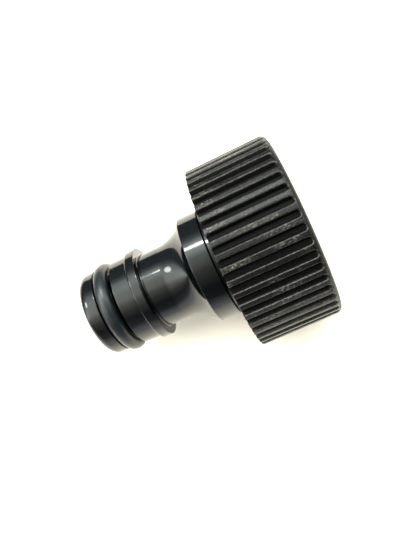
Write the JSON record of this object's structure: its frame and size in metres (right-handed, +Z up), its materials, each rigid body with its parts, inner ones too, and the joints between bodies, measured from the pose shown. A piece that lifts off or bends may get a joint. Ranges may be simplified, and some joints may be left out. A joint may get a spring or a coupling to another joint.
{
  "type": "garden tap hose adaptor",
  "caption": "Garden tap adaptor: a gloss hose quick-connect spigot with an O-ring, held in a ribbed swivel nut with an internal pipe thread and a sealing washer.",
  "frame": {"origin": "centre of the bounding box's underside: the fitting lies on its side on the nut's two lowest ribs, and z = 0 is 16.7 mm below its axis", "axes": "+X along the fitting's axis, from the spigot's nose to the nut's open threaded mouth; +Z up from the surface it lies on; +Y completes the right-handed frame"},
  "size_m": [0.0408, 0.0334, 0.0334],
  "materials": {
    "spigot_plastic": "polished injection-moulded black",
    "o_ring_rubber": "satin black nitrile",
    "washer_rubber": "matt black EPDM",
    "nut_plastic": "fine-textured charcoal black, worn paler on the rib crests"
  },
  "bodies": {
    "spigot_body": {"spigot": "spigot_plastic", "nose_o_ring": "o_ring_rubber"},
    "washer_body": {"sealing_washer": "washer_rubber"},
    "nut_body": {"swivel_nut": "nut_plastic"}
  },
  "joints": [
    {"name": "nut_float", "type": "slide", "parent": "spigot_body", "child": "washer_body", "axis": [1, 0, 0], "range_m": [-0.0011, 0]},
    {"name": "nut_spin", "type": "hinge", "parent": "washer_body", "child": "nut_body", "pos_m": [0.01263, 0, 0.0167], "axis": [1, 0, 0], "continuous": true}
  ]
}
